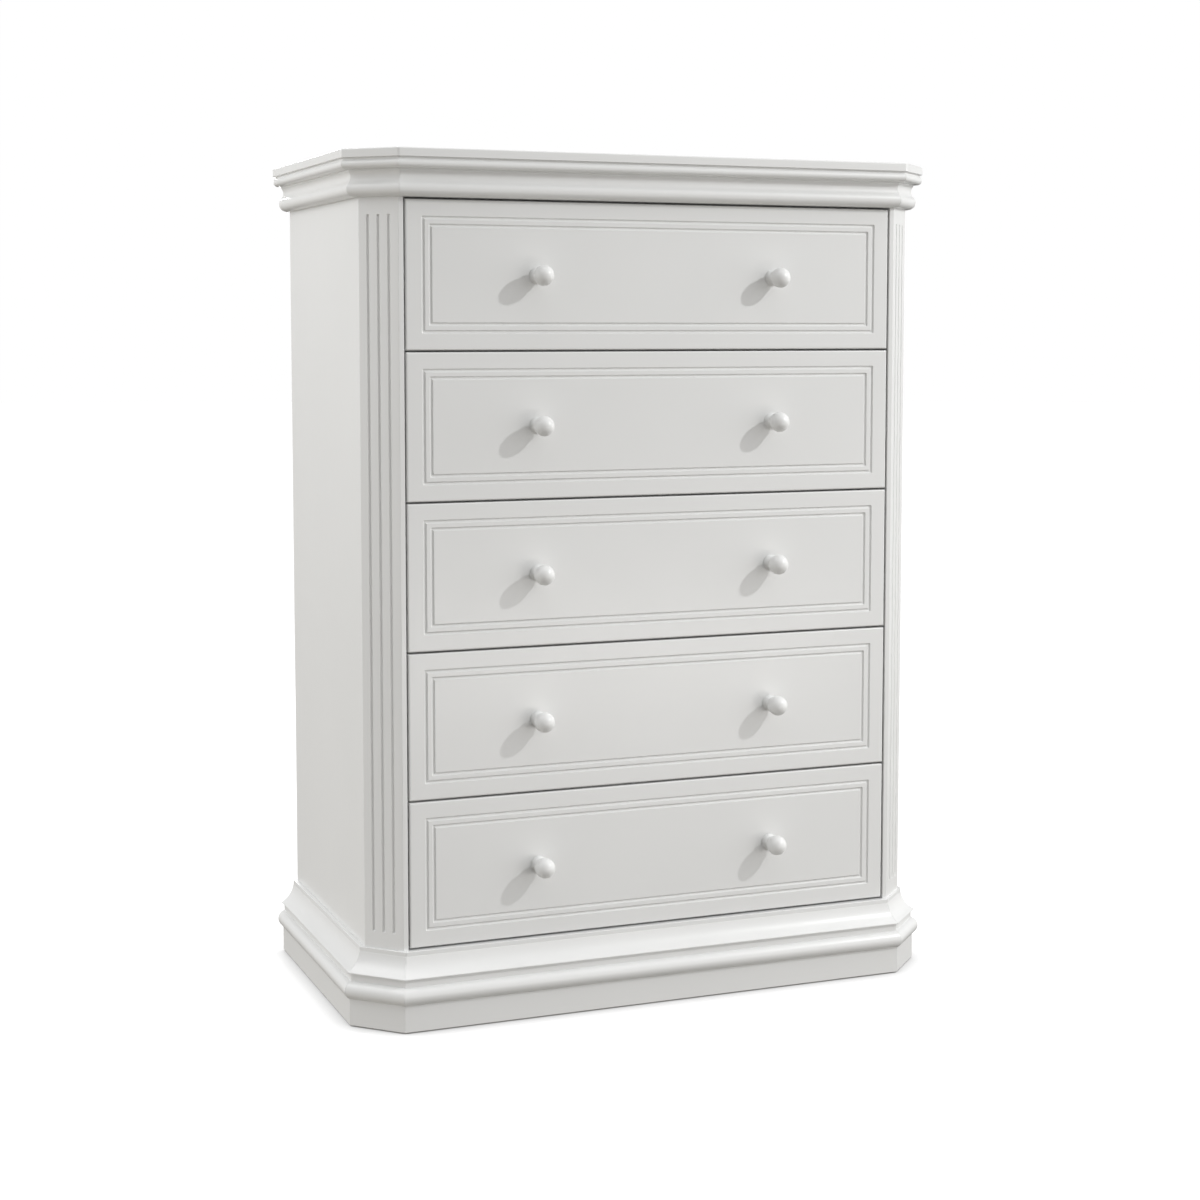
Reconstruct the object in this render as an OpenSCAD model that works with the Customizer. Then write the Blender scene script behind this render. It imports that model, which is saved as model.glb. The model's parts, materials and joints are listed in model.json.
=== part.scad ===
// Tall chest of drawers: canted and fluted corner posts, a crown moulding and a moulded plinth,
// with five inset drawers on full-extension ball-bearing runners.
// The origin is on the floor under the middle of the whole chest: +X right, +Y back, +Z up.
// The drawer fronts face -Y. All sizes are in millimetres.

/* [Case] */
// Width of the carcase across its two side panels
body_w = 951; // [900:1:1050]
// Depth of the carcase from the drawer fronts to its back edge
body_d = 490; // [480:1:560]
// Length that each 45 degree corner takes off the front and off the side
cant_leg = 49; // [46:1:54]
// Width of the narrow stile between a canted face and the drawers
stile_w = 8; // [6:0.5:12]
// Thickness of the side panels and the bottom panel
panel_t = 18; // [15:1:20]
// Thickness of the back panel
back_t = 6; // [4:1:8]

/* [Heights] */
// Height of the base, from the floor to the ledge under the lowest drawer
base_h = 123.5; // [118:0.5:140]
// Height of one drawer front
front_h = 229.3; // [220:0.1:260]
// Height of the crown, moulding and top panel together
crown_h = 72; // [70:0.5:80]
// Thickness of the top panel
top_t = 13.5; // [12:0.5:15]

/* [Drawers] */
// Gap around and between the drawer fronts
front_gap = 3; // [2:0.5:4]
// Thickness of a drawer front
front_t = 20; // [18:1:22]
// Height of a drawer box
box_h = 170; // [150:1:180]
// Length of a drawer box from front to back
box_d = 420; // [410:1:430]
// Thickness of the drawer box boards
box_t = 12; // [10:1:15]
// Thickness of a drawer bottom
bottom_t = 5; // [4:0.5:6]

/* [Front grooves] */
// Distance from the edge of a front to the middle of its outer groove
groove_in = 28; // [24:0.5:36]
// Distance between the two grooves
groove_step = 11.7; // [10:0.1:16]
// Width of a groove and of a flute
groove_w = 5.6; // [4:0.1:7]
// Depth of a groove and of a flute
groove_deep = 2.4; // [1.5:0.1:3]

/* [Knobs] */
// Distance between the two knobs of a drawer
knob_spacing = 406; // [320:1:500]
// Diameter of a knob's ball
knob_d = 32; // [30:1:34]
// Distance from a front to the tip of its knobs
knob_reach = 46; // [44:1:50]

/* [Runners] */
// Length of the runners, which is also how far a drawer pulls out
runner_l = 400; // [350:10:400]
// Width of the space that a runner takes on each side of a drawer box
runner_w = 12.7; // [12.7:0.1:13]

/* [Hidden] */
drawer_count = 5;
front_y = (knob_reach - body_d) / 2;
half_w = body_w / 2;
opening_half_w = half_w - cant_leg - stile_w;
crown_z = base_h + drawer_count * front_h + (drawer_count + 1) * front_gap;
total_h = crown_z + crown_h;
drawer_pitch = front_h + front_gap;
eps = 0.5;

// Plan of the mouldings: their canted faces stand a little behind the posts' own
moulding_cant_in = 4.7;
moulding_cant = cant_leg + moulding_cant_in;
mitre = tan(22.5);
moulding_in = -panel_t;
moulding_out = 40;

// Corner posts
post_d = 58;
flute_count = 3;
flute_step = 18;
flute_end = 28.5;

// Crown profile, as distance out from the carcase and height above its top
crown_bulge_r = 12;
crown_bulge_at = [6.5, 12.5];
crown_cove_r = 14.5;
crown_cove_at = [25.6, 30.5];
crown_fillet = [14.4, 38.5];
crown_torus_r = 7.2;
crown_torus_at = [20.6, 49.1];
crown_quirk = 24.5;
top_out = 28.6;
top_edge_r = 2;

// Base profile, as distance out from the carcase and height above its ledge
ledge_out = 7.3;
ledge_deep = 7.5;
ledge_edge_r = 1;
base_cove_r = 42;
base_cove_at = [49, -0.25];
lip_out = 28.3;
cap_h = 38.7;
neck_out = 24;
plinth_out = 26.4;
plinth_t = 20;
plinth_torus_r = 14.8;
plinth_torus_at = [20.4, -65.7];
floor_gap = 2;

// Frame rails, blocks and glides
rail_t = 18;
rail_w = 50;
rail_y = front_t + 2;
top_rail_t = 10;
batten_h = 50;
back_recess = 10;
back_y = body_d - back_recess - back_t;
back_rail_h = 80;
block_w = 50;
block_gap = 2;
glide_r = 14;
glide_t = 4;

// Drawers
box_lift = 16;
box_half_w = opening_half_w - runner_w;
box_back_y = front_t + box_d;
front_edge_r = 2.5;
tail_count = 5;
tail_w = 24;
tail_flare = 2.5;
bottom_lift = 10;
bottom_in = 5;
bottom_play = 0.1;
// Radius of the round bottom of a groove and of a flute
groove_r = (pow(groove_w / 2, 2) + pow(groove_deep, 2)) / (2 * groove_deep);

// Knobs and their bolts, along the knob's own axis from its foot
knob_foot_r = 13;
knob_foot_t = 1.6;
knob_cove_r = 6.5;
knob_cove_at = [15.1, 7.9];
knob_bead_r = 2.5;
knob_bead_at = [10.6, 16.2];
knob_core_r = 10.6;
knob_throat_r = knob_foot_r - 1;
bolt_r = 2;
bolt_in_knob = 14;
bolt_end_room = 2;
bolt_play = 0.05;
head_r = 4.2;
head_t = 2.4;
fixing_in_front = 14;
fixing_end_room = 1;
fixing_x = 330;
fixing_z = 50;

// Runner members, as distance in from the opening and height from the runner's middle line
runner_y = front_t + 4;
runner_lift = 80;
steel_t = 1.2;
case_member = [0, 9.8, 22.5];
middle_member = [3.4, 10.6, 18];
drawer_member = [6.4, runner_w, 13];

// Anti-tip bracket: a foot screwed to the back, a step, and an eye that stands off the back
bracket_w = 30;
bracket_t = 2;
bracket_foot_h = 18;
bracket_eye_h = 16;
bracket_eye_in = 2;
bracket_z = crown_z - 48;
strap_hole_r = 2.5;
strap_hole_z = bracket_z + bracket_foot_h + bracket_eye_h / 2;
bracket_screw_x = 9;

round_fn = 64;
edge_fn = 48;

// Drawer 1 is the top one. This is the height of a drawer's front's lower edge.
function front_z(number) = base_h + front_gap + (drawer_count - number) * drawer_pitch;

// Puts geometry drawn from the front plane of the carcase into the chest's own frame
module in_chest() {
    translate([0, front_y, 0]) children();
}

module left_and_right() {
    children();
    mirror([1, 0, 0]) children();
}

module block_between(low, high) {
    translate(low) cube(high - low);
}

// Cutter that rounds an edge along X: the material is at y > 0 and z < 0, and the edge is at the origin
module edge_cutter(length, radius) {
    rotate([90, 0, 90])
        translate([0, 0, -length / 2])
        linear_extrude(length)
        difference() {
            translate([-eps, -radius]) square([radius + eps, radius + eps]);
            translate([radius, -radius]) circle(radius, $fn = edge_fn);
        }
}

// ---- Mouldings ----

// One straight length along +X from the origin, its faces towards -Y, with each end mitred or square.
// The profile is drawn with x as distance out and y as height.
module moulding_length(length, start_mitre, end_mitre) {
    spare = moulding_out;
    intersection() {
        rotate([90, 0, 90])
            translate([0, 0, -spare])
            linear_extrude(length + 2 * spare)
            mirror([1, 0])
            children();
        linear_extrude(total_h * 2, center = true)
            polygon([
                [-start_mitre * moulding_in, -moulding_in],
                [length + end_mitre * moulding_in, -moulding_in],
                [length + end_mitre * moulding_out, -moulding_out],
                [-start_mitre * moulding_out, -moulding_out]
            ]);
    }
}

module front_length(z) {
    half = half_w - moulding_cant;
    in_chest() translate([-half, 0, z]) moulding_length(2 * half, mitre, mitre) children();
}

// The canted length and the side length on the right of the chest
module right_lengths(z) {
    in_chest() translate([half_w - moulding_cant, 0, z])
        rotate([0, 0, 45])
        moulding_length(moulding_cant * sqrt(2), mitre, mitre)
        children();
    in_chest() translate([half_w, moulding_cant, z])
        rotate([0, 0, 90])
        moulding_length(body_d - moulding_cant, mitre, 0)
        children();
}

module crown_profile() {
    quirk_z = crown_torus_at[1] + crown_torus_r;
    difference() {
        union() {
            translate([moulding_in, 0]) square([crown_bulge_at[0] - moulding_in, quirk_z - eps]);
            translate([moulding_in, crown_bulge_at[1]])
                square([crown_fillet[0] - moulding_in, quirk_z - eps - crown_bulge_at[1]]);
            translate([moulding_in, crown_torus_at[1] - crown_torus_r])
                square([crown_torus_at[0] - moulding_in, 2 * crown_torus_r]);
            translate([moulding_in, crown_torus_at[1]])
                square([crown_quirk - moulding_in, crown_h - top_t - crown_torus_at[1]]);
            translate(crown_bulge_at) circle(crown_bulge_r, $fn = round_fn);
            translate(crown_torus_at) circle(crown_torus_r, $fn = round_fn);
        }
        intersection() {
            translate(crown_cove_at) circle(crown_cove_r, $fn = round_fn);
            translate([0, crown_bulge_at[1]])
                square([crown_cove_at[0], crown_fillet[1] - crown_bulge_at[1]]);
        }
    }
}

module base_cap_profile() {
    difference() {
        translate([moulding_in, -cap_h]) square([lip_out - moulding_in, cap_h]);
        translate(base_cove_at) circle(base_cove_r, $fn = 2 * round_fn);
        translate([ledge_out, -ledge_deep]) square([moulding_out, cap_h]);
        translate([ledge_out - ledge_edge_r, -ledge_edge_r])
            difference() {
                square(2 * ledge_edge_r);
                circle(ledge_edge_r, $fn = edge_fn);
            }
    }
}

module plinth_profile() {
    low = floor_gap - base_h;
    inner = plinth_out - plinth_t;
    translate([inner, low]) square([plinth_t, plinth_torus_at[1] + eps - low]);
    translate([inner, plinth_torus_at[1]])
        square([neck_out - inner, -cap_h - plinth_torus_at[1]]);
    intersection() {
        translate(plinth_torus_at) circle(plinth_torus_r, $fn = round_fn);
        translate([inner, low]) square([moulding_out, -low]);
    }
}

module crown_front() {
    color("white") front_length(crown_z) crown_profile();
}

module crown_right() {
    color("white") right_lengths(crown_z) crown_profile();
}

module crown_left() {
    mirror([1, 0, 0]) crown_right();
}

module base_cap_front() {
    color("white") front_length(base_h) base_cap_profile();
}

module base_cap_right() {
    color("white") right_lengths(base_h) base_cap_profile();
}

module base_cap_left() {
    mirror([1, 0, 0]) base_cap_right();
}

module plinth_front() {
    color("white") front_length(base_h) plinth_profile();
}

module plinth_right() {
    color("white") right_lengths(base_h) plinth_profile();
}

module plinth_left() {
    mirror([1, 0, 0]) plinth_right();
}

// ---- Case ----

// Plan of a panel that follows the mouldings' corners, grown outwards by a distance
module canted_plan(out, back) {
    corner_x = half_w - moulding_cant + out * mitre;
    corner_y = moulding_cant - out * mitre;
    polygon([
        [-corner_x, -out], [corner_x, -out], [half_w + out, corner_y], [half_w + out, back],
        [-half_w - out, back], [-half_w - out, corner_y]
    ]);
}

module top_panel() {
    corner_x = half_w - moulding_cant + top_out * mitre;
    corner_y = moulding_cant - top_out * mitre;
    edge_l = body_w + 2 * top_out;
    color("white") in_chest() difference() {
        translate([0, 0, total_h - top_t]) linear_extrude(top_t) canted_plan(top_out, body_d);
        translate([0, -top_out, total_h]) edge_cutter(edge_l, top_edge_r);
        left_and_right() {
            translate([corner_x, -top_out, total_h]) rotate([0, 0, 45]) edge_cutter(edge_l, top_edge_r);
            translate([half_w + top_out, corner_y, total_h])
                rotate([0, 0, 90])
                edge_cutter(2 * edge_l, top_edge_r);
        }
    }
}

module side_panel_right() {
    color("white") in_chest()
        block_between([half_w - panel_t, post_d, base_h], [half_w, body_d, crown_z]);
}

module side_panel_left() {
    mirror([1, 0, 0]) side_panel_right();
}

module flute() {
    low = base_h + flute_end;
    high = crown_z - flute_end;
    translate([0, groove_deep - groove_r, 0]) {
        translate([0, 0, low]) cylinder(h = high - low, r = groove_r, $fn = edge_fn);
        for (z = [low, high]) translate([0, 0, z]) sphere(groove_r, $fn = edge_fn);
    }
}

module corner_post_right() {
    front_x = half_w - cant_leg;
    face_middle = [half_w - cant_leg / 2, cant_leg / 2, 0];
    color("white") in_chest() difference() {
        translate([0, 0, base_h]) linear_extrude(crown_z - base_h)
            polygon([
                [opening_half_w, 0], [front_x, 0], [half_w, cant_leg],
                [half_w, post_d], [opening_half_w, post_d]
            ]);
        translate(face_middle) rotate([0, 0, 45])
            for (i = [0 : flute_count - 1])
                translate([(i - (flute_count - 1) / 2) * flute_step, 0, 0]) flute();
    }
}

module corner_post_left() {
    mirror([1, 0, 0]) corner_post_right();
}

module bottom_panel() {
    color("burlywood") in_chest()
        translate([0, 0, base_h - panel_t]) linear_extrude(panel_t) canted_plan(moulding_in, body_d);
}

module back_panel() {
    half = half_w - panel_t;
    color("gainsboro") in_chest()
        block_between([-half, back_y, base_h], [half, back_y + back_t, total_h - top_t]);
}

// Middles of the blocks: the front ones stand against the base cap, clear of its canted lengths
module corner_block_places() {
    front_x = half_w - moulding_cant + moulding_in * mitre - block_gap - block_w / 2;
    back_x = half_w - panel_t - block_gap - block_w / 2;
    left_and_right() {
        translate([front_x, block_w / 2 - moulding_in, 0]) children();
        translate([back_x, body_d - plinth_t - block_gap - block_w / 2, 0]) children();
    }
}

// Pine rails that tie the case together: rails between the drawers, the top rails, the back rail of the
// base, the battens that carry the runners and the blocks in the base's corners
module frame_rails() {
    post_gap = [-opening_half_w, opening_half_w];
    inner_half = half_w - panel_t;
    base_back_half = half_w + plinth_out - plinth_t;
    color("burlywood") in_chest() {
        for (number = [1 : drawer_count - 1]) {
            middle = front_z(number) - front_gap / 2;
            block_between(
                [post_gap[0], rail_y, middle - rail_t / 2],
                [post_gap[1], rail_y + rail_w, middle + rail_t / 2]
            );
        }
        block_between(
            [post_gap[0], rail_y, crown_z - top_rail_t],
            [post_gap[1], rail_y + rail_w, crown_z]
        );
        block_between(
            [-inner_half, back_y - rail_t, crown_z - back_rail_h],
            [inner_half, back_y, total_h - top_t]
        );
        for (number = [1 : drawer_count]) {
            middle = front_z(number) + runner_lift;
            left_and_right() block_between(
                [opening_half_w, post_d, middle - batten_h / 2],
                [inner_half, back_y, middle + batten_h / 2]
            );
        }
        translate([0, body_d, 0]) rotate([90, 0, 0]) linear_extrude(plinth_t) union() {
            translate([-base_back_half, floor_gap])
                square([2 * base_back_half, base_h - cap_h - floor_gap]);
            translate([-inner_half, floor_gap])
                square([2 * inner_half, base_h - panel_t - floor_gap]);
        }
        corner_block_places()
            translate([-block_w / 2, -block_w / 2, glide_t])
            cube([block_w, block_w, base_h - panel_t - glide_t]);
    }
}

module floor_glides() {
    color("dimgray") in_chest() corner_block_places() cylinder(h = glide_t, r = glide_r, $fn = round_fn);
}

module tip_bracket() {
    foot_y = body_d - back_recess;
    eye_y = body_d - bracket_eye_in - bracket_t;
    step_z = bracket_z + bracket_foot_h;
    side = bracket_w / 2;
    screw_z = bracket_z + bracket_foot_h / 2;
    color("silver") in_chest() {
        difference() {
            union() {
                block_between([-side, foot_y, bracket_z], [side, foot_y + bracket_t, step_z]);
                block_between(
                    [-side, foot_y, step_z - bracket_t],
                    [side, eye_y + bracket_t, step_z]
                );
                block_between(
                    [-side, eye_y, step_z - bracket_t],
                    [side, eye_y + bracket_t, step_z + bracket_eye_h]
                );
            }
            translate([0, eye_y - eps, strap_hole_z])
                rotate([-90, 0, 0])
                cylinder(h = bracket_t + 2 * eps, r = strap_hole_r, $fn = edge_fn);
            for (x = [-bracket_screw_x, bracket_screw_x])
                translate([x, foot_y - eps, screw_z])
                rotate([-90, 0, 0])
                cylinder(h = bracket_t + 2 * eps, r = bolt_r + bolt_play, $fn = edge_fn);
        }
        for (x = [-bracket_screw_x, bracket_screw_x])
            translate([x, foot_y + bracket_t + bolt_play, screw_z])
            rotate([90, 0, 0])
            pan_screw(bracket_t);
    }
}

// ---- Runners ----

// A channel from one side of the runner's space towards the other. Its web is at distance web,
// its flanges reach from there to distance tip, and its half height is half.
module channel(web, tip, half) {
    low = min(web, tip);
    web_low = web < tip ? web : web - steel_t;
    x = opening_half_w;
    left_and_right() translate([0, runner_y, 0]) {
        block_between([x - web_low - steel_t, 0, -half], [x - web_low, runner_l, half]);
        for (side = [-1, 1])
            translate([x - low - abs(tip - web), 0, side * (half - steel_t / 2) - steel_t / 2])
                cube([abs(tip - web), runner_l, steel_t]);
    }
}

module runner_case_members() {
    color("silver") in_chest()
        for (number = [1 : drawer_count])
            translate([0, 0, front_z(number) + runner_lift])
                channel(case_member[0], case_member[1], case_member[2]);
}

module middle_members(number) {
    color("silver") in_chest() translate([0, 0, front_z(number) + runner_lift])
        channel(middle_member[0], middle_member[1], middle_member[2]);
}

module runner_members(number) {
    color("silver") in_chest() translate([0, 0, front_z(number) + runner_lift])
        channel(drawer_member[1], drawer_member[0], drawer_member[2]);
}

// ---- Drawers ----

// A round-bottomed groove along one straight line of a rectangle, mitred at both ends
module groove_side(length) {
    reach = groove_w;
    intersection() {
        translate([0, groove_deep - groove_r, 0])
            rotate([0, 90, 0])
            cylinder(h = length + 2 * reach, r = groove_r, center = true, $fn = edge_fn);
        rotate([90, 0, 0])
            linear_extrude(4 * reach, center = true)
            polygon([
                [-length / 2 - reach, -reach], [length / 2 + reach, -reach],
                [length / 2 - reach, reach], [-length / 2 + reach, reach]
            ]);
    }
}

// The four sides of one rectangular groove, at a distance in from the edges of a front
module groove_frame(inset) {
    across = 2 * (opening_half_w - front_gap - inset);
    up = front_h - 2 * inset;
    for (turn = [0, 180]) rotate([0, turn, 0]) translate([0, 0, -up / 2]) groove_side(across);
    for (turn = [90, 270]) rotate([0, turn, 0]) translate([0, 0, -across / 2]) groove_side(up);
}

module knob_places(number) {
    for (x = [-knob_spacing / 2, knob_spacing / 2])
        translate([x, 0, front_z(number) + front_h / 2]) children();
}

module fixing_places(number) {
    for (x = [-fixing_x, fixing_x], z = [-fixing_z, 0])
        translate([x, 0, front_z(number) + front_h / 2 + z]) children();
}

module drawer_front(number) {
    half = opening_half_w - front_gap;
    middle_z = front_z(number) + front_h / 2;
    color("white") in_chest() difference() {
        block_between([-half, 0, front_z(number)], [half, front_t, front_z(number) + front_h]);
        translate([0, 0, middle_z]) {
            for (inset = [groove_in, groove_in + groove_step]) groove_frame(inset);
            for (turn = [0, 180]) rotate([0, turn, 0])
                translate([0, 0, front_h / 2]) edge_cutter(3 * half, front_edge_r);
            for (turn = [90, 270]) rotate([0, turn, 0])
                translate([0, 0, half]) edge_cutter(2 * front_h, front_edge_r);
        }
        knob_places(number) translate([0, -eps, 0]) rotate([-90, 0, 0])
            cylinder(h = front_t + 2 * eps, r = bolt_r + bolt_play, $fn = edge_fn);
        fixing_places(number) translate([0, front_t - fixing_in_front, 0]) rotate([-90, 0, 0])
            cylinder(h = fixing_in_front + eps, r = bolt_r + bolt_play, $fn = edge_fn);
    }
}

// The dovetails that a box side keeps at one end: wide at the end at y = 0 and narrow at y = box_t
module dovetails(number) {
    step = box_h / tail_count;
    low = front_z(number) + box_lift;
    for (i = [0 : tail_count - 1])
        translate([box_half_w - box_t, 0, low + (i + 0.5) * step])
            rotate([90, 0, 90])
            linear_extrude(box_t)
            polygon([
                [0, -tail_w / 2], [box_t, tail_flare - tail_w / 2],
                [box_t, tail_w / 2 - tail_flare], [0, tail_w / 2]
            ]);
}

module all_dovetails(number) {
    left_and_right() {
        translate([0, front_t, 0]) dovetails(number);
        translate([0, box_back_y, 0]) mirror([0, 1, 0]) dovetails(number);
    }
}

// The groove that holds the drawer bottom, as a solid with a little play around the bottom itself
module bottom_space(number, play) {
    half = box_half_w - box_t + bottom_in + play;
    low = front_z(number) + box_lift + bottom_lift;
    block_between(
        [-half, front_t + box_t - bottom_in - play, low - play],
        [half, box_back_y - box_t + bottom_in + play, low + bottom_t + play]
    );
}

module box_sides(number) {
    low = front_z(number) + box_lift;
    color("burlywood") in_chest() difference() {
        union() {
            left_and_right() block_between(
                [box_half_w - box_t, front_t + box_t, low],
                [box_half_w, box_back_y - box_t, low + box_h]
            );
            all_dovetails(number);
        }
        bottom_space(number, bottom_play);
    }
}

module box_ends(number) {
    low = front_z(number) + box_lift;
    color("burlywood") in_chest() difference() {
        for (y = [front_t, box_back_y - box_t])
            block_between([-box_half_w, y, low], [box_half_w, y + box_t, low + box_h]);
        all_dovetails(number);
        bottom_space(number, bottom_play);
        knob_places(number) translate([0, front_t - eps, 0]) rotate([-90, 0, 0])
            cylinder(h = box_t + 2 * eps, r = bolt_r + bolt_play, $fn = edge_fn);
        fixing_places(number) translate([0, front_t - eps, 0]) rotate([-90, 0, 0])
            cylinder(h = box_t + 2 * eps, r = bolt_r + bolt_play, $fn = edge_fn);
    }
}

module drawer_bottom(number) {
    color("wheat") in_chest() bottom_space(number, 0);
}

module knob() {
    ball_at = knob_reach - knob_d / 2;
    rotate([90, 0, 0]) difference() {
        rotate_extrude($fn = round_fn) intersection() {
            union() {
                square([knob_foot_r, knob_foot_t]);
                difference() {
                    square([knob_throat_r, knob_bead_at[1]]);
                    translate(knob_cove_at) circle(knob_cove_r, $fn = round_fn);
                    translate([knob_cove_at[0] - knob_cove_r, knob_cove_at[1]]) square(knob_foot_r);
                }
                square([knob_cove_at[0] - knob_cove_r, ball_at]);
                translate([0, knob_bead_at[1] - knob_bead_r / 2])
                    square([knob_core_r, 2 * knob_bead_r]);
                translate(knob_bead_at) circle(knob_bead_r, $fn = edge_fn);
                translate([0, ball_at]) circle(knob_d / 2, $fn = 2 * round_fn);
            }
            square([knob_d, knob_reach]);
        }
        translate([0, 0, -eps])
            cylinder(h = bolt_in_knob + bolt_end_room + eps, r = bolt_r + bolt_play, $fn = edge_fn);
    }
}

module knobs(number) {
    color("white") in_chest() knob_places(number) knob();
}

// A pan-head screw along +Z: the underside of its head is at z = 0 and its shank goes up
module pan_screw(shank) {
    translate([0, 0, -head_t]) cylinder(h = head_t, r = head_r, $fn = edge_fn);
    cylinder(h = shank, r = bolt_r, $fn = edge_fn);
}

module drawer_screws(number) {
    inner_y = front_t + box_t;
    color("silver") in_chest() {
        knob_places(number) translate([0, inner_y, 0]) rotate([90, 0, 0])
            pan_screw(inner_y + bolt_in_knob);
        fixing_places(number) translate([0, inner_y, 0]) rotate([90, 0, 0])
            pan_screw(box_t + fixing_in_front - fixing_end_room);
    }
}

side_panel_left();
side_panel_right();
corner_post_left();
corner_post_right();
back_panel();
bottom_panel();
top_panel();
crown_front();
crown_left();
crown_right();
base_cap_front();
base_cap_left();
base_cap_right();
plinth_front();
plinth_left();
plinth_right();
frame_rails();
runner_case_members();
tip_bracket();
floor_glides();
drawer_front(1);  // drawer_1_front
box_sides(1);  // drawer_1_box_sides
box_ends(1);  // drawer_1_box_ends
drawer_bottom(1);  // drawer_1_bottom
knobs(1);  // drawer_1_knobs
drawer_screws(1);  // drawer_1_screws
runner_members(1);  // drawer_1_runner_members
middle_members(1);  // drawer_1_middle_members
drawer_front(2);  // drawer_2_front
box_sides(2);  // drawer_2_box_sides
box_ends(2);  // drawer_2_box_ends
drawer_bottom(2);  // drawer_2_bottom
knobs(2);  // drawer_2_knobs
drawer_screws(2);  // drawer_2_screws
runner_members(2);  // drawer_2_runner_members
middle_members(2);  // drawer_2_middle_members
drawer_front(3);  // drawer_3_front
box_sides(3);  // drawer_3_box_sides
box_ends(3);  // drawer_3_box_ends
drawer_bottom(3);  // drawer_3_bottom
knobs(3);  // drawer_3_knobs
drawer_screws(3);  // drawer_3_screws
runner_members(3);  // drawer_3_runner_members
middle_members(3);  // drawer_3_middle_members
drawer_front(4);  // drawer_4_front
box_sides(4);  // drawer_4_box_sides
box_ends(4);  // drawer_4_box_ends
drawer_bottom(4);  // drawer_4_bottom
knobs(4);  // drawer_4_knobs
drawer_screws(4);  // drawer_4_screws
runner_members(4);  // drawer_4_runner_members
middle_members(4);  // drawer_4_middle_members
drawer_front(5);  // drawer_5_front
box_sides(5);  // drawer_5_box_sides
box_ends(5);  // drawer_5_box_ends
drawer_bottom(5);  // drawer_5_bottom
knobs(5);  // drawer_5_knobs
drawer_screws(5);  // drawer_5_screws
runner_members(5);  // drawer_5_runner_members
middle_members(5);  // drawer_5_middle_members
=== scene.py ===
import json
import math

import bmesh
import bpy
import numpy as np
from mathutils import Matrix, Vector


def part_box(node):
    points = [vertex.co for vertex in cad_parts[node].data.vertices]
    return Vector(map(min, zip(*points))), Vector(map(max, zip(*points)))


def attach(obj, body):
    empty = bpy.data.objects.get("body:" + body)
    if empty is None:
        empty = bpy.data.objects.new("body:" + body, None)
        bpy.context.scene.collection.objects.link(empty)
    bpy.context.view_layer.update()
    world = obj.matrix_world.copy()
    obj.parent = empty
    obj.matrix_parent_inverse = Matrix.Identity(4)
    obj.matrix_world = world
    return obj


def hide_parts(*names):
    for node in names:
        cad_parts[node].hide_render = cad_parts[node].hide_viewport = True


# The looks of a tall white chest of drawers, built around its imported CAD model.
# Lengths are in metres; MM turns a millimetre into metres.

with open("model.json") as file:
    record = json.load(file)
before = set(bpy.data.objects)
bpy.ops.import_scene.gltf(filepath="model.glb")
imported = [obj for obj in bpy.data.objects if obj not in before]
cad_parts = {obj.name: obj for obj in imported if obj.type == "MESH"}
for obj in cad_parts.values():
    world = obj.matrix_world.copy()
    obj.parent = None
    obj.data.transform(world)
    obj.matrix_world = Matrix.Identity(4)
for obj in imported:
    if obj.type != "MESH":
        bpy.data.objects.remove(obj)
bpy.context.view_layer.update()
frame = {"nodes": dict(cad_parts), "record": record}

MM = 0.001
SCENE = bpy.context.scene
DRAWERS = range(1, 6)

# ---- What the CAD frame says ----

side_low, side_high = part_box("side_panel_right")
front_low, front_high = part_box("drawer_1_front")
post_low, post_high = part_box("corner_post_right")
top_low, top_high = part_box("top_panel")

HALF_W = side_high.x
FRONT_Y = front_low.y
BACK_Y = side_high.y
BASE_Z = side_low.z
CROWN_Z = side_high.z
OPENING_X = post_low.x
TOP_OUT = top_high.x - HALF_W

# The CAD model's own sizes that a box can't give
CANT = 49 * MM
MOULDING_CANT = 53.7 * MM
MITRE = math.tan(math.radians(22.5))
DIAGONAL = math.sqrt(0.5)
GROOVE_IN = 28 * MM
GROOVE_STEP = 11.7 * MM
GROOVE_HALF = 2.8 * MM
GROOVE_DEEP = 2.4 * MM
FLUTE_STEP = 18 * MM
FLUTE_END = 28.5 * MM
KNOB_HALF_SPACING = 203 * MM

SLOT_OF = {s["node"]: s["material_slot"] for s in frame["record"]["subparts"]}
BODY_OF = {
    node: body
    for body, nodes in frame["record"]["behaviour"]["bodies"].items()
    for node in nodes
}

# ---- Camera ----

# The place, angles and lens come from a scratch fit of the CAD model's edges to the photograph
CAMERA_PLACE = (-1.3497, -3.3688, 1.0877)
CAMERA_YAW = 21.69
CAMERA_PITCH = 4.66
CAMERA_LENS = 64.3
CAMERA_SHIFT_Y = -0.08


def make_camera():
    data = bpy.data.cameras.new("camera")
    data.lens = CAMERA_LENS
    data.sensor_width = 36
    data.shift_y = CAMERA_SHIFT_Y
    camera = bpy.data.objects.new("camera", data)
    SCENE.collection.objects.link(camera)
    camera.location = CAMERA_PLACE
    camera.rotation_euler = (
        math.radians(90 - CAMERA_PITCH), 0, math.radians(-CAMERA_YAW)
    )
    SCENE.camera = camera


# ---- Node helpers ----

def math_node(tree, operation, first, second):
    """The result of a Math node; each operand is a number or a socket."""
    node = tree.nodes.new("ShaderNodeMath")
    node.operation = operation
    for i, value in enumerate((first, second)):
        if isinstance(value, bpy.types.NodeSocket):
            tree.links.new(value, node.inputs[i])
        else:
            node.inputs[i].default_value = value
    return node.outputs[0]


def drawn_out(along, amount):
    """A mapping scale that draws a pattern out along one axis."""
    return [amount if axis == along else 1.0 for axis in range(3)]


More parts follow.
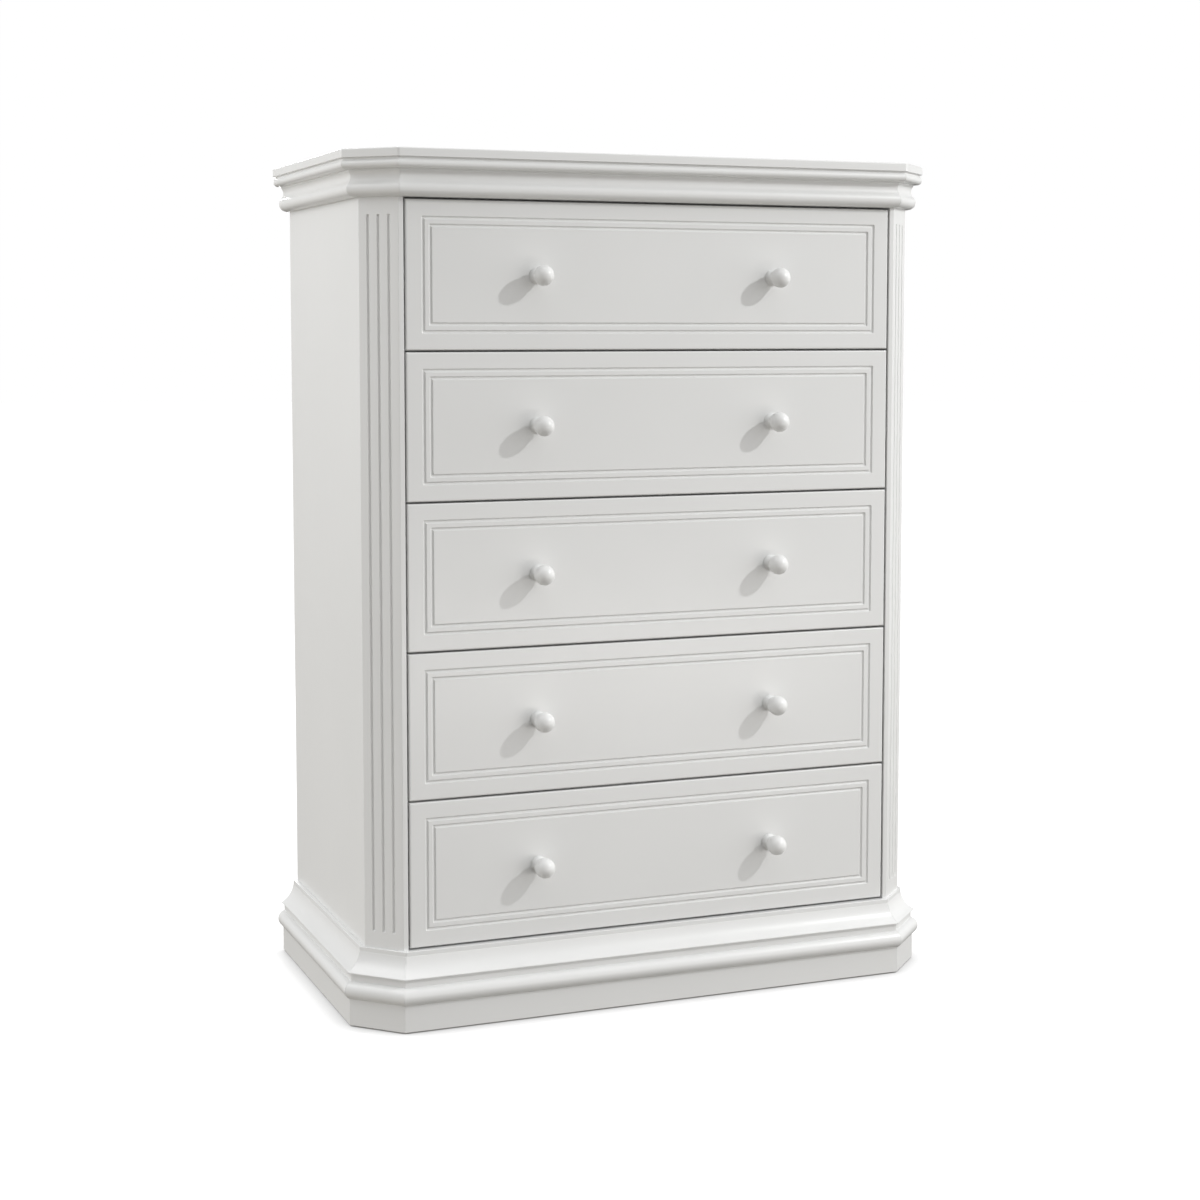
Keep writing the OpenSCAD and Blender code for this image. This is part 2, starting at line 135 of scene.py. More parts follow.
class Nodes:
    """A material's node tree, with short calls for the nodes that these finishes share."""

    def __init__(self, name):
        self.material = bpy.data.materials.new(name)
        self.material.use_nodes = True
        self.tree = self.material.node_tree
        self.tree.nodes.clear()
        self.shader = self.add("ShaderNodeBsdfPrincipled")
        output = self.add("ShaderNodeOutputMaterial")
        self.link(self.shader.outputs["BSDF"], output.inputs["Surface"])
        self.place = self.add("ShaderNodeTexCoord").outputs["Object"]

    def add(self, kind, **settings):
        node = self.tree.nodes.new(kind)
        for key, value in settings.items():
            setattr(node, key, value)
        return node

    def link(self, source, target):
        self.tree.links.new(source, target)

    def stretched(self, scale, source=None):
        mapping = self.add("ShaderNodeMapping")
        mapping.inputs["Scale"].default_value = scale
        self.link(source or self.place, mapping.inputs["Vector"])
        return mapping.outputs["Vector"]

    def noise(self, scale, detail=2.0, rough=0.5, vector=None, distortion=0.0):
        node = self.add("ShaderNodeTexNoise")
        node.inputs["Scale"].default_value = scale
        node.inputs["Detail"].default_value = detail
        node.inputs["Roughness"].default_value = rough
        node.inputs["Distortion"].default_value = distortion
        self.link(vector or self.place, node.inputs["Vector"])
        return node.outputs["Fac"]

    def ranged(self, value, low, high, to_low, to_high):
        node = self.add("ShaderNodeMapRange")
        node.inputs["From Min"].default_value = low
        node.inputs["From Max"].default_value = high
        node.inputs["To Min"].default_value = to_low
        node.inputs["To Max"].default_value = to_high
        self.link(value, node.inputs["Value"])
        return node.outputs["Result"]

    def mixed(self, factor, first, second, how="MIX"):
        """Mixes two colours; each is a colour or a socket, and factor is a number or a socket."""
        node = self.add("ShaderNodeMix", data_type="RGBA", blend_type=how)
        for value, socket in ((factor, 0), (first, 6), (second, 7)):
            if isinstance(value, bpy.types.NodeSocket):
                self.link(value, node.inputs[socket])
            elif socket == 0:
                node.inputs[socket].default_value = value
            else:
                node.inputs[socket].default_value = (*value, 1)
        return node.outputs[2]

    def maths(self, operation, first, second):
        return math_node(self.tree, operation, first, second)

    def bump(self, height, distance, strength=1.0, below=None):
        node = self.add("ShaderNodeBump")
        node.inputs["Distance"].default_value = distance
        node.inputs["Strength"].default_value = strength
        self.link(height, node.inputs["Height"])
        if below:
            self.link(below, node.inputs["Normal"])
        return node.outputs["Normal"]

    def finish(self, colour=None, roughness=None, normal=None):
        for name, value in (
            ("Base Color", colour), ("Roughness", roughness), ("Normal", normal)
        ):
            if value is not None:
                self.link(value, self.shader.inputs[name])
        return self.material


# ---- Materials ----

def white_lacquer():
    """Satin white spray lacquer: a fine orange peel, and a faint unevenness in tone and gloss."""
    n = Nodes("white_lacquer")
    tone = n.noise(2.2, 3.0, 0.55)
    colour = n.mixed(n.ranged(tone, 0.3, 0.7, 0, 1), (0.795, 0.800, 0.794), (0.771, 0.776, 0.770))
    speck = n.noise(900, 1.0, 0.4)
    colour = n.mixed(n.ranged(speck, 0.66, 0.78, 0, 0.25), colour, (0.70, 0.70, 0.685))
    rough = n.ranged(n.noise(38, 3.0, 0.6), 0.3, 0.7, 0.30, 0.38)
    peel = n.bump(n.noise(420, 2.0, 0.5), 0.00006, 0.55)
    wave = n.bump(n.noise(26, 1.0, 0.4), 0.00025, 0.35, peel)
    n.shader.inputs["Specular IOR Level"].default_value = 0.42
    n.shader.inputs["Coat Weight"].default_value = 0.20
    n.shader.inputs["Coat Roughness"].default_value = 0.16
    return n.finish(colour, rough, wave)


OVERSPRAY_COLOUR = (0.78, 0.78, 0.77)
OVERSPRAY_FADE = 0.03
OVERSPRAY_DRIFT = 0.02


def oversprayed(n, colour, behind_y):
    """The colour with the front's lacquer sprayed over it, fading out just behind a distance along Y."""
    where = n.add("ShaderNodeSeparateXYZ")
    n.link(n.place, where.inputs[0])
    drift = n.maths("MULTIPLY", n.noise(30, 3.0, 0.6), OVERSPRAY_DRIFT)
    edge = n.maths("ADD", where.outputs[1], drift)
    sprayed = n.ranged(edge, behind_y, behind_y + OVERSPRAY_FADE, 1, 0)
    return n.mixed(sprayed, colour, OVERSPRAY_COLOUR)


def wood(name, along, light, dark, ring_scale, gloss, figure=1.0, overspray_y=None):
    """Straight-grained wood with its grain along one axis, open pores and end grain on the cut ends.

    In front of overspray_y it carries the white lacquer that was sprayed on the front.
    """
    n = Nodes(name)
    info = n.add("ShaderNodeObjectInfo").outputs["Random"]
    shift = n.add("ShaderNodeVectorMath", operation="ADD")
    offset = n.add("ShaderNodeCombineXYZ")
    for axis in range(3):
        n.link(n.maths("MULTIPLY", info, 3.7 + axis), offset.inputs[axis])
    n.link(n.place, shift.inputs[0])
    n.link(offset.outputs[0], shift.inputs[1])
    grain_place = n.stretched(drawn_out(along, 0.06), shift.outputs[0])
    figure_lines = n.noise(ring_scale, 3.0, 0.55, grain_place, 1.4 * figure)
    fibre_place = n.stretched(drawn_out(along, 0.02), shift.outputs[0])
    fibre = n.noise(700, 2.0, 0.6, fibre_place)
    pores = n.noise(1500, 1.0, 0.5, fibre_place)
    rings = n.add("ShaderNodeMath", operation="FRACT")
    n.link(n.maths("MULTIPLY", figure_lines, 7.0), rings.inputs[0])
    colour = n.mixed(n.ranged(rings.outputs[0], 0, 1, 0, 0.75), light, dark)
    colour = n.mixed(n.ranged(fibre, 0.35, 0.7, 0, 0.35), colour, [c * 0.86 for c in dark])
    colour = n.mixed(n.ranged(pores, 0.6, 0.75, 0, 0.35), colour, [c * 0.6 for c in dark])
    normal = n.add("ShaderNodeNewGeometry").outputs["Normal"]
    split = n.add("ShaderNodeSeparateXYZ")
    n.link(normal, split.inputs[0])
    facing = n.maths("ABSOLUTE", split.outputs[along], 0)
    end = n.ranged(facing, 0.6, 0.8, 0, 0.5)
    colour = n.mixed(end, colour, [c * 0.72 for c in dark])
    if overspray_y is not None:
        colour = oversprayed(n, colour, overspray_y)
    rough = n.ranged(fibre, 0.3, 0.7, gloss, gloss + 0.12)
    relief = n.bump(fibre, 0.00012, 0.5)
    relief = n.bump(pores, 0.00010, 0.4, relief)
    return n.finish(colour, rough, relief)


def back_board():
    """Thin painted board: matt white with a faint roller stipple."""
    n = Nodes("back_board")
    colour = n.mixed(
        n.ranged(n.noise(5, 4.0, 0.6), 0.3, 0.7, 0, 1), (0.66, 0.66, 0.64), (0.60, 0.60, 0.575)
    )
    colour = n.mixed(n.ranged(n.noise(260, 2.0, 0.6), 0.55, 0.75, 0, 0.3), colour, (0.50, 0.50, 0.48))
    rough = n.ranged(n.noise(60, 2.0), 0.3, 0.7, 0.55, 0.7)
    return n.finish(colour, rough, n.bump(n.noise(520, 3.0, 0.6), 0.0002, 0.6))


def zinc_steel():
    """Bright zinc on rolled steel: fine drawn lines along the runners and cloudy passivation."""
    n = Nodes("zinc_steel")
    n.shader.inputs["Metallic"].default_value = 1.0
    cloud = n.noise(60, 4.0, 0.6)
    colour = n.mixed(n.ranged(cloud, 0.35, 0.65, 0, 1), (0.62, 0.63, 0.64), (0.50, 0.51, 0.53))
    lines = n.noise(1600, 2.0, 0.5, n.stretched((1.0, 0.02, 1.0)))
    rough = n.ranged(lines, 0.3, 0.7, 0.24, 0.40)
    return n.finish(colour, rough, n.bump(lines, 0.00003, 0.5))


def glide_nylon():
    """Moulded matt nylon with a fine spark-eroded grain."""
    n = Nodes("glide_nylon")
    colour = n.mixed(
        n.ranged(n.noise(300, 2.0), 0.3, 0.7, 0, 1), (0.030, 0.030, 0.033), (0.050, 0.050, 0.053)
    )
    rough = n.ranged(n.noise(200, 2.0), 0.3, 0.7, 0.5, 0.65)
    return n.finish(colour, rough, n.bump(n.noise(2500, 1.0), 0.00005, 0.6))


BIRCH_LIGHT = (0.66, 0.50, 0.33)
BIRCH_DARK = (0.53, 0.37, 0.22)
OVERSPRAY_DEEP = 0.05

MATERIALS = {
    "white_lacquer": white_lacquer(),
    "back_board": back_board(),
    "zinc_steel": zinc_steel(),
    "glide_nylon": glide_nylon(),
    "drawer_sides": wood("birch_along_y", 1, BIRCH_LIGHT, BIRCH_DARK, 16, 0.40),
    "drawer_ends": wood("birch_along_x", 0, BIRCH_LIGHT, BIRCH_DARK, 16, 0.40),
    "drawer_ply": wood("birch_ply", 0, (0.70, 0.56, 0.38), (0.60, 0.45, 0.29), 7, 0.38, 1.6),
    "pine_along_x": wood(
        "pine_along_x", 0, (0.68, 0.51, 0.31), (0.50, 0.32, 0.16), 22, 0.62,
        overspray_y=FRONT_Y + OVERSPRAY_DEEP
    ),
}


def material_for(node):
    if node.endswith("box_sides"):
        return MATERIALS["drawer_sides"]
    if node.endswith("box_ends"):
        return MATERIALS["drawer_ends"]
    slot = SLOT_OF[node]
    return MATERIALS["pine_along_x" if slot == "frame_pine" else slot]


# ---- Meshes ----

class Shape:
    """Points and faces that several solids of one piece are gathered into."""

    def __init__(self):
        self.points = []
        self.faces = []

    def add(self, points, faces):
        start = len(self.points)
        self.points += [tuple(p) for p in points]
        self.faces += [tuple(start + i for i in face) for face in faces]

    def mirrored(self):
        """The same shape on the other side of the X = 0 plane."""
        other = Shape()
        other.add([(-x, y, z) for x, y, z in self.points], [face[::-1] for face in self.faces])
        return other


def rings_to_faces(count, size, closed_ends=True):
    """Faces that join rings of equal size in their order, with a cap on the first and the last."""
    faces = []
    for ring in range(count - 1):
        for i in range(size):
            j = (i + 1) % size
            faces.append((ring * size + i, ring * size + j, (ring + 1) * size + j, (ring + 1) * size + i))
    if closed_ends:
        faces.append(tuple(reversed(range(size))))
        faces.append(tuple(range((count - 1) * size, count * size)))
    return faces


def arc(centre, radius, start, stop, steps):
    """Points along an arc in the plane, its angles in degrees."""
    angles = [math.radians(start + (stop - start) * i / steps) for i in range(steps + 1)]
    return [(centre[0] + radius * math.cos(a), centre[1] + radius * math.sin(a)) for a in angles]


def eased(corners, steps=4):
    """A closed outline with its corners rounded: each corner is (x, y, how far back the rounding starts)."""
    outline = []
    for i, (x, y, reach) in enumerate(corners):
        corner = np.array((x, y))
        if reach == 0:
            outline.append(tuple(corner))
            continue
        ends = []
        for other in (corners[i - 1], corners[(i + 1) % len(corners)]):
            toward = np.array(other[:2]) - corner
            distance = np.linalg.norm(toward)
            ends.append(corner + toward / distance * min(reach, 0.45 * distance))
        for step in range(steps + 1):
            t = step / steps
            outline.append(tuple((1 - t) ** 2 * ends[0] + 2 * t * (1 - t) * corner + t ** 2 * ends[1]))
    return outline


def make_piece(name, shape, body, material, stands_for=(), sharp=38):
    mesh = bpy.data.meshes.new(name)
    mesh.from_pydata(shape.points, [], shape.faces)
    work = bmesh.new()
    work.from_mesh(mesh)
    bmesh.ops.recalc_face_normals(work, faces=work.faces)
    work.to_mesh(mesh)
    work.free()
    mesh.shade_smooth()
    mesh.set_sharp_from_angle(angle=math.radians(sharp))
    mesh.materials.append(material)
    piece = bpy.data.objects.new(name, mesh)
    SCENE.collection.objects.link(piece)
    weighted = piece.modifiers.new("weighted", "WEIGHTED_NORMAL")
    weighted.keep_sharp = True
    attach(piece, body)
    if stands_for:
        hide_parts(*stands_for)
    return piece


def stand_in_for(node, shape, sharp=38):
    return make_piece(
        node + "_finished", shape, BODY_OF[node], material_for(node), (node,), sharp
    )


# ---- Mouldings ----

JOINT_EASE = 0.5 * MM
# The profiles are drawn in millimetres, and scaled() turns them into metres
MOULDING_IN = -18


def scaled(points):
    return [(x * MM, y * MM) for x, y in points]


def crown_profile():
    """Bulge, cove, fillet, torus and quirk, as distance out from the carcase and height above it."""
    outline = [(MOULDING_IN, 0), (6.2, 0)]
    outline += arc((6.5, 12.5), 12, -86, 34.5, 18)
    outline += arc((25.6, 30.5), 14.5, 230.6, 146.5, 14)
    outline += [(14.0, 38.5), (14.4, 38.9), (14.4, 41.6), (14.7, 41.9)]
    outline += arc((20.6, 49.1), 7.2, -90, 57.2, 16)
    outline += [(24.5, 55.4), (24.5, 58.5), (MOULDING_IN, 58.5)]
    return scaled(outline)


def base_cap_profile():
    """Ledge, cove and lip, as distance out from the carcase and height above the ledge."""
    outline = [(MOULDING_IN, 0), (6.3, 0), (6.9, -0.2), (7.2, -0.5)]
    outline += [(7.3, -1.0), (7.3, -7.3), (7.63, -7.5)]
    outline += arc((49, -0.25), 42, 189.94, 240.0, 16)
    outline += [(28.3, -37.1), (28.3, -38.3), (27.9, -38.7), (MOULDING_IN, -38.7)]
    return scaled(outline)


def plinth_profile():
    """Neck, torus and face, as distance out from the carcase and height above the ledge."""
    outline = [(6.4, -38.7), (24, -38.7), (24, -51.35)]
    outline += arc((20.4, -65.7), 14.8, 75.9, -66.1, 22)
    outline += [(26.4, -80.4), (26.4, -120.9), (25.8, -121.5), (6.4, -121.5)]
    return scaled(outline)


def inset_outline(outline, distance):
    """The outline moved inwards, whichever way round it runs."""
    points = np.array(outline)
    following = np.roll(points, -1, axis=0)
    if np.sum(points[:, 0] * following[:, 1] - following[:, 0] * points[:, 1]) < 0:
        distance = -distance
    before = points - np.roll(points, 1, axis=0)
    after = np.roll(points, -1, axis=0) - points
    normals = []
    for edge in (before, after):
        normal = np.stack([-edge[:, 1], edge[:, 0]], axis=1)
        normals.append(normal / np.linalg.norm(normal, axis=1, keepdims=True))
    inward = normals[0] + normals[1]
    inward /= np.linalg.norm(inward, axis=1, keepdims=True)
    return points + inward * distance


def moulding_length(shape, profile, z, origin, along, outward, length, start_mitre, end_mitre):
    """One length of moulding with mitred or square ends, its ends eased a little so that the joint shows."""
    origin, along, outward = (np.array(v, float) for v in (origin, along, outward))
    inner = inset_outline(profile, JOINT_EASE)
    points = []
    for end, eased_end in ((0, True), (0, False), (1, False), (1, True)):
        ring = inner if eased_end else np.array(profile)
        mitre = end_mitre if end else start_mitre
        sign = 1 if end else -1
        back_off = 0 if eased_end else JOINT_EASE
        for out, up in ring:
            reach = (length if end else 0) + sign * (mitre * out - back_off)
            plan = origin + along * reach + outward * out
            points.append((plan[0], plan[1], z + up))
    shape.add(points, rings_to_faces(4, len(profile)))


def moulding_pieces(name, profile, z):
    front_half = HALF_W - MOULDING_CANT
    front = Shape()
    moulding_length(
        front, profile, z, (-front_half, FRONT_Y), (1, 0), (0, -1), 2 * front_half, MITRE, MITRE
    )
    right = Shape()
    moulding_length(
        right, profile, z, (front_half, FRONT_Y), (DIAGONAL, DIAGONAL), (DIAGONAL, -DIAGONAL),
        MOULDING_CANT / DIAGONAL, MITRE, MITRE
    )
    side_start = FRONT_Y + MOULDING_CANT
    moulding_length(
        right, profile, z, (HALF_W, side_start), (0, 1), (1, 0), BACK_Y - side_start, MITRE, 0
    )
    stand_in_for(name + "_front", front)
    stand_in_for(name + "_right", right)
    stand_in_for(name + "_left", right.mirrored())


def canted_outline(out, ease):
    """Plan of the top panel, a distance out from the carcase on every side but the back."""
    corner_x = HALF_W - MOULDING_CANT + out * MITRE
    corner_y = FRONT_Y + MOULDING_CANT - out * MITRE
    side_x = HALF_W + out
    front_y = FRONT_Y - out
    return eased([
        (side_x, BACK_Y, 0), (-side_x, BACK_Y, 0), (-side_x, corner_y, ease),
        (-corner_x, front_y, ease), (corner_x, front_y, ease), (side_x, corner_y, ease)
    ])


def top_panel():
    round_r = 2 * MM
    low_ease = 0.6 * MM
    corner = 3 * MM
    rings = [(TOP_OUT - low_ease, top_low.z), (TOP_OUT, top_low.z + low_ease)]
    for out, z in arc((TOP_OUT - round_r, top_high.z - round_r), round_r, 0, 90, 6):
        rings.append((out, z))
    points = []
    for out, z in rings:
        points += [(x, y, z) for x, y in canted_outline(out, corner)]
    shape = Shape()
    shape.add(points, rings_to_faces(len(rings), len(points) // len(rings)))
    stand_in_for("top_panel", shape)


# ---- Grooves ----

GROOVE_R = (GROOVE_HALF ** 2 + GROOVE_DEEP ** 2) / (2 * GROOVE_DEEP)
LIP = 0.35 * MM
LIP_WEAR = 0.10 * MM
# Distances from a groove's middle line at which its section is drawn
HALF_STATIONS = [share * GROOVE_HALF for share in (0.28, 0.55, 0.78, 0.93, 1)] + [GROOVE_HALF + LIP]
GROOVE_STATIONS = [-s for s in reversed(HALF_STATIONS)] + [0] + HALF_STATIONS


def groove_depth(distance):
    """Depth of the round-bottomed groove at a distance from its middle line, its lips a little worn."""
    distance = abs(distance)
    if distance >= GROOVE_HALF + LIP:
        return 0.0
    if distance >= GROOVE_HALF:
        return LIP_WEAR * (GROOVE_HALF + LIP - distance) / LIP
    round_depth = math.sqrt(GROOVE_R ** 2 - distance ** 2) - (GROOVE_R - GROOVE_DEEP)
    return max(round_depth, LIP_WEAR)


def corner_post():
    """The post's plan swept up its height, with the flutes sunk into its canted face."""
    edge = 0.9 * MM
    depth_in = post_high.y - post_low.y
    front_x = HALF_W - CANT
    face_l = CANT * math.sqrt(2)
    middle = face_l / 2
    flutes = [middle - FLUTE_STEP, middle, middle + FLUTE_STEP]
    low, high = BASE_Z + FLUTE_END, CROWN_Z - FLUTE_END
    along_face = sorted(
        [centre + s for centre in flutes for s in GROOVE_STATIONS] + [2 * edge, face_l - 2 * edge]
    )
    heights = sorted(
        [BASE_Z, CROWN_Z, (low + high) / 2] + [low + s for s in GROOVE_STATIONS]
        + [high + s for s in GROOVE_STATIONS]
    )
    start = eased([
        (OPENING_X, depth_in, 0), (OPENING_X, 0, edge), (front_x, 0, edge),
        (front_x + CANT, CANT, 0)
    ])[:-1]
    finish = eased([
        (front_x, 0, 0), (HALF_W, CANT, edge), (HALF_W, depth_in, 0)
    ])[1:]
    points = []
    for z in heights:
        clamped = min(max(z, low), high)
        for x, y in start:
            points.append((x, FRONT_Y + y, z))
        for u in along_face:
            sunk = max(groove_depth(math.hypot(u - centre, z - clamped)) for centre in flutes)
            x = front_x + u * DIAGONAL - sunk * DIAGONAL
            y = u * DIAGONAL + sunk * DIAGONAL
            points.append((x, FRONT_Y + y, z))
        for x, y in finish:
            points.append((x, FRONT_Y + y, z))
    shape = Shape()
    shape.add(points, rings_to_faces(len(heights), len(points) // len(heights)))
    stand_in_for("corner_post_right", shape)
    stand_in_for("corner_post_left", shape.mirrored())


def drawer_front(number):
    """A front as rings that run round it: rounded edges, two routed grooves and a flat middle."""
    node = f"drawer_{number}_front"
    low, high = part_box(node)
    thick = high.y - low.y
    round_r = 2.5 * MM
    back_ease = 0.5 * MM
    tight = 0.15 * MM
    rings = [(back_ease, thick, tight), (0, thick - back_ease, tight)]
    for a in range(0, 91, 15):
        turn = math.radians(a)
        rings.append((
            round_r * (1 - math.cos(turn)), round_r * (1 - math.sin(turn)), 1.2 * MM
        ))
    for centre in (GROOVE_IN, GROOVE_IN + GROOVE_STEP):
        for s in GROOVE_STATIONS:
            rings.append((centre + s, groove_depth(s), max(tight, -s)))
    points = []
    for inset, depth, corner in rings:
        outline = eased([
            (low.x + inset, low.z + inset, corner), (high.x - inset, low.z + inset, corner),
            (high.x - inset, high.z - inset, corner), (low.x + inset, high.z - inset, corner)
        ])
        points += [(x, low.y + depth, z) for x, z in outline]
    shape = Shape()
    shape.add(points, rings_to_faces(len(rings), len(points) // len(rings)))
    stand_in_for(node, shape)


# ---- Knobs and screws ----

def lathe(shape, profile, place, toward, steps=56):
    """Turns a profile of (radius, distance) about an axis. It starts and ends on the axis."""
    axis = Vector(toward).normalized()
    turn = Vector((0, 0, 1)).rotation_difference(axis).to_matrix()
    inner = profile[1:-1]
    points = []
    for radius, distance in inner:
        for i in range(steps):
            a = 2 * math.pi * i / steps
            points.append(Vector(place) + turn @ Vector((
                radius * math.cos(a), radius * math.sin(a), distance
            )))
    faces = rings_to_faces(len(inner), steps, closed_ends=False)
    first, last = len(points), len(points) + 1
    points.append(Vector(place) + turn @ Vector((0, 0, profile[0][1])))
    points.append(Vector(place) + turn @ Vector((0, 0, profile[-1][1])))
    top = (len(inner) - 1) * steps
    for i in range(steps):
        j = (i + 1) % steps
        faces.append((first, j, i))
        faces.append((last, top + i, top + j))
    shape.add(points, faces)


def knob_profile():
    """Foot disc, cove, bead and ball, as radius and distance from the front."""
    outline = [(0, 0), (12.7, 0), (13, 0.3), (13, 1.2), (12.9, 1.45), (12.6, 1.6), (12, 1.7)]
    outline += arc((15.1, 7.9), 6.5, 241.5, 180, 9)
    outline += arc((10.6, 16.2), 2.5, -143.1, 75, 16)
    outline += arc((0, 30), 16, -45.3, 90, 26)
    return scaled(outline)


def knobs(number):
    node = f"drawer_{number}_knobs"
    low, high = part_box(node)
    shape = Shape()
    for side in (-1, 1):
        place = (side * KNOB_HALF_SPACING, high.y, (low.z + high.z) / 2)
        lathe(shape, knob_profile(), place, (0, -1, 0))
    stand_in_for(node, shape, 50)


HEAD_R = 4.2 * MM
HEAD_T = 2.4 * MM
HEAD_RIM = 0.5 * MM
SHANK_R = 2 * MM
CROSS_HALF = 0.55 * MM
CROSS_REACH = 2.4 * MM
CROSS_DEEP = 1.3 * MM
FIXING_X = 330 * MM
FIXING_DROP = 50 * MM
FIXING_SHANK = 25 * MM


def pan_screw(shape, place, toward, shank):
    """A pan-head screw: its shank goes back from the seat, its head has a cross recess."""
    profile = [(0, -shank), (SHANK_R - 0.4 * MM, -shank), (SHANK_R, -shank + 0.5 * MM), (SHANK_R, 0)]
    profile += [(HEAD_R - 0.2 * MM, 0), (HEAD_R, 0.2 * MM)]
    for degrees in range(0, 90, 10):
        a = math.radians(degrees)
        profile.append((HEAD_R * math.cos(a), HEAD_RIM + (HEAD_T - HEAD_RIM) * math.sin(a)))
    profile += [(0.4 * MM, HEAD_T), (0, HEAD_T)]
    before = len(shape.points)
    lathe(shape, profile, place, toward, 32)
    axis = Vector(toward).normalized()
    turn = Vector((0, 0, 1)).rotation_difference(axis).to_matrix()
    across = (turn @ Vector((1, 0, 0)), turn @ Vector((0, 1, 0)))
    for i in range(before, len(shape.points)):
        offset = Vector(shape.points[i]) - Vector(place)
        up = offset.dot(axis)
        a, b = (abs(offset.dot(v)) for v in across)
        in_cross = min(a, b) < CROSS_HALF and max(a, b) < CROSS_REACH
        if up > 0.6 * HEAD_T and in_cross:
            shape.points[i] = tuple(Vector(shape.points[i]) - axis * CROSS_DEEP)


def drawer_screws(number):
    node = f"drawer_{number}_screws"
    low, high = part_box(node)
    seat_y = high.y - HEAD_T
    knob_z = sum(p.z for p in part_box(f"drawer_{number}_knobs")) / 2
    shape = Shape()
    for side in (-1, 1):
        pan_screw(shape, (side * KNOB_HALF_SPACING, seat_y, knob_z), (0, 1, 0), seat_y - low.y)
        for drop in (0, FIXING_DROP):
            pan_screw(shape, (side * FIXING_X, seat_y, knob_z - drop), (0, 1, 0), FIXING_SHANK)
    stand_in_for(node, shape, 45)


# ---- Runners' balls and cages ----

BALL_STEP = 13 * MM
CAGE_LENGTH = 150 * MM
CAGE_END_GAP = 8 * MM
CAGE_HALF_THICK = 0.4 * MM
CAGE_HALF_HIGH = 1.1 * MM


def ball(shape, place, radius):
    profile = [(radius * math.sin(a), -radius * math.cos(a)) for a in np.linspace(0, math.pi, 9)]
    lathe(shape, profile, place, (0, 1, 0), 12)


def strip(shape, low, high, ease=0.3 * MM):
    """A thin bar along Y with eased edges."""
    outline = eased([
        (low[0], low[2], ease), (high[0], low[2], ease), (high[0], high[2], ease), (low[0], high[2], ease)
    ], 2)
    points = [(x, y, z) for y in (low[1], high[1]) for x, z in outline]
    shape.add(points, rings_to_faces(2, len(outline)))


def ball_cages(number):
    """Balls between the three members of each runner, held in pressed cages that go with the middle one."""
    node = f"drawer_{number}_middle_members"
    low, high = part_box(node)
    z = (low.z + high.z) / 2
    shape = Shape()
    # (distance in from the opening, height of the ball row, ball radius, where the cage starts)
    rows = (
        (6.6 * MM, 19.65 * MM, 1.5 * MM, high.y - CAGE_LENGTH - CAGE_END_GAP),
        (9.0 * MM, 14.9 * MM, 1.75 * MM, low.y + CAGE_END_GAP)
    )
    for side in (-1, 1):
        for inward, row_z, radius, start in rows:
            x = side * (OPENING_X - inward)
            for end in (-1, 1):
                for i in range(int(CAGE_LENGTH / BALL_STEP)):
                    ball(shape, (x, start + (i + 0.7) * BALL_STEP, z + end * row_z), radius)
                strip(
                    shape,
                    (x - CAGE_HALF_THICK, start, z + end * row_z - CAGE_HALF_HIGH),
                    (x + CAGE_HALF_THICK, start + CAGE_LENGTH, z + end * row_z + CAGE_HALF_HIGH)
                )
    make_piece(
        f"drawer_{number}_ball_cages", shape, BODY_OF[node], MATERIALS["zinc_steel"], (), 50
    )


# ---- The back ----

def back_pins():
    """Panel pins that hold the back panel to the case, all round its edge."""
    low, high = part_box("back_panel")
    edge = 7 * MM
    head = [(0, -2), (0.8, -2), (0.8, 0), (1.5, 0.05), (1.6, 0.25), (1.3, 0.45), (0, 0.5)]
    shape = Shape()
    across, up = 9, 11
    places = []
    for i in range(across + 1):
        x = low.x + edge + (high.x - low.x - 2 * edge) * i / across
        places += [(x, low.z + edge), (x, high.z - edge)]
    for i in range(1, up):
        z = low.z + edge + (high.z - low.z - 2 * edge) * i / up
        places += [(low.x + edge, z), (high.x - edge, z)]
    for x, z in places:
        lathe(shape, scaled(head), (x, high.y, z), (0, 1, 0), 12)
    make_piece("back_panel_pins", shape, "case", MATERIALS["zinc_steel"], (), 50)


# ---- CAD nodes that stay ----

WOOD_EASE = 0.5 * MM
STEEL_EASE = 0.25 * MM


def finish_cad_nodes():
    """Gives each CAD node that is still shown its finish and lightly eased edges."""
    for name, node in frame["nodes"].items():
        node.data.materials.clear()
        node.data.materials.append(material_for(name))
        if node.hide_render:
            continue
        weld = node.modifiers.new("weld", "WELD")
        weld.merge_threshold = 0.02 * MM
        bevel = node.modifiers.new("bevel", "BEVEL")
        bevel.width = STEEL_EASE if SLOT_OF[name] == "zinc_steel" else WOOD_EASE
        bevel.segments = 2
        bevel.limit_method = "ANGLE"
        bevel.angle_limit = math.radians(50)
        bevel.use_clamp_overlap = False
        bevel.harden_normals = False
        weighted = node.modifiers.new("weighted", "WEIGHTED_NORMAL")
        weighted.keep_sharp = True


# ---- Stage and lights ----

# Found by a scratch fit to where the knobs' shadows fall in the photograph
KEY_PLACE = (2.64, -2.50, 3.02)
FLOOR_R = 30
BACKDROP_R = 29
FLOOR_GLOW = 0.76
CONTACT_SHADE_REACH = 45 * MM


def area_light(name, place, size, energy, at, shape="RECTANGLE", colour=(1, 1, 1)):
    data = bpy.data.lights.new(name, "AREA")
    data.shape = shape
    data.size = size[0]
    data.size_y = size[1]
    data.energy = energy
    data.color = colour
    light = bpy.data.objects.new(name, data)
    SCENE.collection.objects.link(light)
    light.location = place
    light.rotation_euler = (Vector(at) - Vector(place)).to_track_quat("-Z", "Y").to_euler()
    return light


